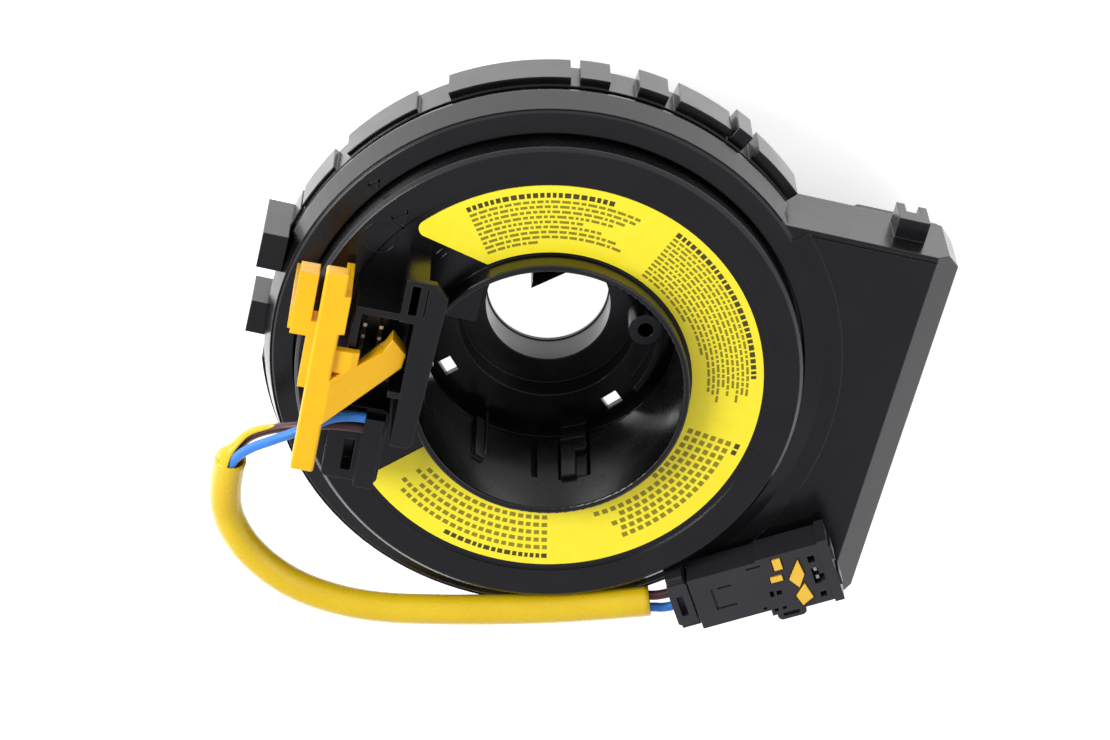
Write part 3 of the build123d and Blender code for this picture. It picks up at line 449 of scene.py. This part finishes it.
def makeTongue(s):
    vertices, faces = [], []
    for outer, inner in zip(s["tongueOuter"], s["tongueInner"]):
        crown = [(a + b) / 2 + off for a, b, off in zip(outer, inner, s["tongueCrown"])]
        vertices += [outer, crown, inner]
    for row in range(len(s["tongueOuter"]) - 1):
        for column in (0, 1):
            corner = 3 * row + column
            faces.append((corner, corner + 3, corner + 4, corner + 1))
    tongue = meshPiece("sleeveTongue", vertices, faces, "softPvc", slot="sleeve_pvc", smooth=True)
    wall = tongue.modifiers.new("wall", "SOLIDIFY")
    wall.thickness = s["sleeveWall"] * mm
    wall.offset = 0
    tongue.modifiers.new("soft", "SUBSURF").render_levels = s["tongueRounds"]


makeTongue(leadSet)
print("lead made")


# a point from its radius, angle in degrees and height
def polar(radius, angle, height):
    return (radius * math.cos(math.radians(angle)), radius * math.sin(math.radians(angle)), height)


arcStep = 3  # degrees between the points of an arc


# adds a thin closed bar along an arc
def arcBar(vertices, faces, inner, outer, start, end, low, high):
    steps = max(1, round(abs(end - start) / arcStep))
    first = len(vertices)
    for i in range(steps + 1):
        angle = start + (end - start) * i / steps
        for radius, height in ((inner, low), (outer, low), (outer, high), (inner, high)):
            vertices.append(polar(radius, angle, height))
    for i in range(steps):
        a = first + 4 * i
        for k in range(4):
            m = (k + 1) % 4
            faces.append((a + k, a + m, a + 4 + m, a + 4 + k))
    last = first + 4 * steps
    faces.append((first + 3, first + 2, first + 1, first))
    faces.append((last, last + 1, last + 2, last + 3))


# rings and plates of the mouldings that are finer than the model: the rim's drafted outer face,
# the lip at the neck's lower end, and the stepped latch plate and the rail in the bore
trimSet = {
    # body, start and end angle, then the section's corners as radius and height
    "rimFace": ("stator", 48.5, 311.5,
                ((50.8, 34.1), (51.1, 34.2), (52.5, 29.0), (52.5, 28.4), (50.8, 28.4))),
    "neckLip": ("rotor", 0, 360, ((12.0, 0.4), (11.7, 0.5), (11.7, 1.3), (12.0, 1.5))),
    "latchFoot": ("rotor", -71.0, -58.8, ((23.4, 20.0), (24.3, 20.0), (24.3, 25.0), (23.4, 25.0))),
    "latchPlate": ("rotor", -71.0, -64.2, ((23.4, 24.9), (24.3, 24.9), (24.3, 34.0), (23.4, 34.0))),
    "boreRail": ("rotor", -107.5, -106.0, ((23.2, 15.0), (24.3, 15.0), (24.3, 31.0), (23.2, 30.0))),
}


def makeTrim(s):
    for name, (body, start, end, section) in s.items():
        steps = max(2, round((end - start) / arcStep))
        whole = end - start == 360
        corners = len(section)
        vertices = [polar(radius, start + (end - start) * i / steps, height)
                    for i in range(steps if whole else steps + 1) for radius, height in section]
        faces = []
        for i in range(steps):
            low = corners * i
            high = 0 if whole and i == steps - 1 else low + corners
            for k in range(corners):
                m = (k + 1) % corners
                faces.append((low + k, low + m, high + m, high + k))
        if not whole:
            faces.append(tuple(reversed(range(corners))))
            faces.append(tuple(range(corners * steps, corners * (steps + 1))))
        piece = meshPiece(name, vertices, faces, "blackPbt", body=body)
        # the sections run either way round, so the faces are turned outwards here
        mesh = bmesh.new()
        mesh.from_mesh(piece.data)
        bmesh.ops.recalc_face_normals(mesh, faces=mesh.faces)
        mesh.to_mesh(piece.data)
        mesh.free()


makeTrim(trimSet)
print("trim made")


# print on the label: plain bars in four blocks, read clockwise from an even start to a ragged end
inkSet = {
    "top": 40.0,  # the label's surface
    "thick": 0.03,  # above it and into it
    "headRadius": 37.15,
    "headHeight": 0.95,
    "headRun": (0.6, 1.15),
    "headGap": 0.38,
    "seed": 4,
    # start angle, the bold row's end, the first row's radius, the rows' pitch and height,
    # the bars' lengths and gap, and the angle where each row ends
    "blocks": (
        (126.4, 86.7, 35.9, 0.98, 0.52, (0.5, 1.7), 0.36,
         (77.1, 79.4, 81.4, 84.9, 93.4, 87.4, 81.9, 78.4, 110.4)),
        (65.9, 14.8, 36.05, 0.88, 0.46, (0.5, 1.6), 0.34,
         (9.8, 8.8, 8.0, 11.4, 7.6, 12.9, 7.3, 9.4, 10.2, 24.1, 40.9)),
        (-7.4, -11.6, 35.4, 1.5, 0.95, (1.0, 1.05), 0.6, (-53.6, -52.1, -53.6, -49.6, -58.6, -34.0)),
        (-77.2, -106.6, 35.3, 1.62, 0.85, (0.85, 1.15), 0.5, (-127.0, -128.0, -123.0, -128.0, -126.0)),
    ),
}


def makePrint(s):
    draw = random.Random(s["seed"])
    parts = {"labelHeads": ([], []), "labelRows": ([], [])}
    for start, headEnd, first, pitch, high, run, gap, ends in s["blocks"]:
        rows = [("labelHeads", s["headRadius"], s["headHeight"], s["headRun"], s["headGap"], headEnd)]
        for row, end in enumerate(ends):
            rows.append(("labelRows", first - row * pitch, high, run, gap, end))
        for part, radius, height, lengths, space, end in rows:
            angle = start
            while angle > end:
                nextAngle = angle - math.degrees(draw.uniform(*lengths) / radius)
                arcBar(*parts[part], radius - height / 2, radius + height / 2, nextAngle, angle,
                       s["top"] - s["thick"], s["top"] + s["thick"])
                angle = nextAngle - math.degrees(space / radius)
    for name, ink in (("labelHeads", "darkInk"), ("labelRows", "oliveInk")):
        meshPiece(name, *parts[name], ink, slot="label_film")


makePrint(inkSet)
print("print made")

# fine moulded ridges on the rim and the rotor, in mm
ridgeSet = {
    "width": 0.36,
    "sink": 0.45,  # how deep the foot goes
    "stand": 0.18,
    # body, height of the surface, closed or open, points
    "lines": {
        "rimArrow": ("stator", 34.85, True, ((-39.7, 28.5), (-37.9, 27.9), (-38.1, 29.7))),
        "rotorArrow": ("rotor", 40.2, True, ((-32.2, 27.3), (-34.6, 25.7), (-32.3, 24.2))),
        "edgeRidgeLow": ("rotor", 39.8, False, ((-24.4, 19.7), (-23.6, 20.8))),
        "edgeRidgeHigh": ("rotor", 39.8, False, ((-25.4, 20.3), (-24.6, 21.4))),
    },
}


# adds a closed bar between two points of a level surface
def flatBar(vertices, faces, start, end, width, low, high):
    along = (Vector(end) - Vector(start)).normalized() * width / 2
    side = Vector((-along.y, along.x))
    first = len(vertices)
    for height in (low, high):
        for corner in (Vector(start) - along - side, Vector(end) + along - side,
                       Vector(end) + along + side, Vector(start) - along + side):
            vertices.append((corner.x, corner.y, height))
    faces.append((first + 3, first + 2, first + 1, first))
    faces.append((first + 4, first + 5, first + 6, first + 7))
    for k in range(4):
        m = (k + 1) % 4
        faces.append((first + k, first + m, first + 4 + m, first + 4 + k))


def makeRidges(s):
    for name, (body, height, closed, points) in s["lines"].items():
        vertices, faces = [], []
        ends = points[1:] + points[:1] if closed else points[1:]
        for start, end in zip(points, ends):
            flatBar(vertices, faces, start, end, s["width"], height - s["sink"], height + s["stand"])
        meshPiece(name, vertices, faces, "blackPbt", body=body)


# the round trace of an ejector pin: a low ring on the rotor's top, in mm
ejectorSet = {
    "centre": (-35.86, 21.29),
    "radius": 2.9,
    "width": 0.2,
    "height": 40.2,  # of the surface
    "sink": 0.45,
    "stand": 0.06,
    "steps": 48,
}


def makeEjectorRing(s):
    vertices, faces = [], []
    low, high = s["height"] - s["sink"], s["height"] + s["stand"]
    inner, outer = s["radius"] - s["width"] / 2, s["radius"] + s["width"] / 2
    for k in range(s["steps"]):
        angle = math.tau * k / s["steps"]
        for radius, height in ((inner, low), (outer, low), (outer, high), (inner, high)):
            vertices.append((s["centre"][0] + radius * math.cos(angle),
                             s["centre"][1] + radius * math.sin(angle), height))
        here, after = 4 * k, 4 * ((k + 1) % s["steps"])
        for a, b in ((0, 1), (1, 2), (2, 3), (3, 0)):
            faces.append((here + a, after + a, after + b, here + b))
    meshPiece("rotorEjector", vertices, faces, "blackPbt")


makeRidges(ridgeSet)
makeEjectorRing(ejectorSet)
print("marks made")

# stage: a plain pale floor, a white surround and two soft lamps
stageSet = {
    "floor": "#f2f2f2",
    "floorRough": 0.9,
    "half": 3.0,  # m
    "floorSeen": (0.95, 0.6),  # glow that the camera sees on the floor under the object and round it; the stronger glow under the object is painted light over the object's shadow there
    "floorMirrored": (0.1, 1.15),  # and that mirror rays see; the weak glow under the object is painted shade, the floor's shadow there as the black parts mirror it
    "seenEdge": (0.028, 0.045),  # m from the axis, where the one goes over into the other
    "mirroredEdge": (0.004, 0.009),
    "world": 0.6,  # strength for diffuse light
    "seen": 1.0,  # strength that the camera sees
    "tint": "#eeebf8",  # the surround as the black parts mirror it, a little lilac
    "horizon": 1.25,  # strength that mirror rays see at the sides
    "zenith": 0.58,  # and overhead, where the room is dark
    "darkFrom": 0.3,  # sine of the height where the surround begins to darken
    "darkTo": 0.85,
}


def makeFloor(s):
    mesh = bpy.data.meshes.new("floor")
    half = s["half"]
    corners = [(-half, -half, 0), (half, -half, 0), (half, half, 0), (-half, half, 0)]
    mesh.from_pydata(corners, [], [(0, 1, 2, 3)])
    floor = bpy.data.objects.new("floor", mesh)
    bpy.context.scene.collection.objects.link(floor)
    material, tree, shader = newMaterial("paleFloor", Roughness=s["floorRough"], Specular_IOR_Level=0.0)
    shader.inputs["Base Color"].default_value = hexColour(s["floor"])
    path = addNode(tree, "ShaderNodeLightPath")
    away = addNode(tree, "ShaderNodeVectorMath", {0: place(tree)}, operation="LENGTH")
    glows = {}
    # glow by distance from the axis: painted light under the object for the camera, painted shade there for
    # mirror rays
    for kind, edge in (("floorSeen", "seenEdge"), ("floorMirrored", "mirroredEdge")):
        glows[kind] = addNode(tree, "ShaderNodeMapRange", {"Value": away.outputs["Value"]},
                              From_Min=s[edge][0], From_Max=s[edge][1],
                              To_Min=s[kind][0], To_Max=s[kind][1])
    mirrored = addNode(tree, "ShaderNodeMath", {0: path.outputs["Is Glossy Ray"],
                                                1: glows["floorMirrored"].outputs["Result"]},
                       operation="MULTIPLY")
    seen = addNode(tree, "ShaderNodeMix", {"Factor": path.outputs["Is Camera Ray"],
                                           "A": mirrored.outputs["Value"],
                                           "B": glows["floorSeen"].outputs["Result"]})
    tree.links.new(seen.outputs["Result"], shader.inputs["Emission Strength"])
    shader.inputs["Emission Color"].default_value = (1, 1, 1, 1)
    mesh.materials.append(material)


# white to the camera, and by height to mirror rays
def makeSurround(s):
    world = bpy.data.worlds.new("surround")
    bpy.context.scene.world = world
    world.use_nodes = True
    tree = world.node_tree
    path = addNode(tree, "ShaderNodeLightPath")
    towards = addNode(tree, "ShaderNodeTexCoord")
    height = addNode(tree, "ShaderNodeSeparateXYZ", {"Vector": towards.outputs["Generated"]})
    mirrored = addNode(tree, "ShaderNodeMapRange", {"Value": height.outputs["Z"]},
                       interpolation_type="SMOOTHSTEP", From_Min=s["darkFrom"], From_Max=s["darkTo"],
                       To_Min=s["horizon"], To_Max=s["zenith"])
    glossy = addNode(tree, "ShaderNodeMix", {"Factor": path.outputs["Is Glossy Ray"],
                                             "B": mirrored.outputs["Result"]}, A=s["world"])
    strength = addNode(tree, "ShaderNodeMix", {"Factor": path.outputs["Is Camera Ray"],
                                               "A": glossy.outputs["Result"]}, B=s["seen"])
    tone = addNode(tree, "ShaderNodeMix", {"Factor": path.outputs["Is Glossy Ray"]}, data_type="RGBA")
    tone.inputs["A"].default_value = (1, 1, 1, 1)
    tone.inputs["B"].default_value = hexColour(s["tint"])
    sky = tree.nodes["Background"]
    tree.links.new(tone.outputs["Result"], sky.inputs["Color"])
    tree.links.new(strength.outputs["Result"], sky.inputs["Strength"])


# place, aim and width in m, power in W
lampSets = {
    "keyLamp": {"place": (-0.45, 0.1, 0.36), "aim": (-0.03, 0, 0.03), "width": 0.3, "power": 2.6},
    "fillLamp": {"place": (0.5, 0.3, 0.8), "aim": (0, 0, 0.03), "width": 0.6, "power": 1.0},
}


def makeLamp(name, s):
    lamp = bpy.data.lights.new(name, "AREA")
    lamp.shape = "DISK"
    lamp.size = s["width"]
    lamp.energy = s["power"]
    piece = bpy.data.objects.new(name, lamp)
    bpy.context.scene.collection.objects.link(piece)
    piece.location = s["place"]
    piece.rotation_euler = (Vector(s["aim"]) - Vector(s["place"])).to_track_quat("-Z", "Y").to_euler()


makeFloor(stageSet)
makeSurround(stageSet)
for lampName, settings in lampSets.items():
    makeLamp(lampName, settings)
bpy.context.scene.view_settings.view_transform = "Standard"
print("stage made")
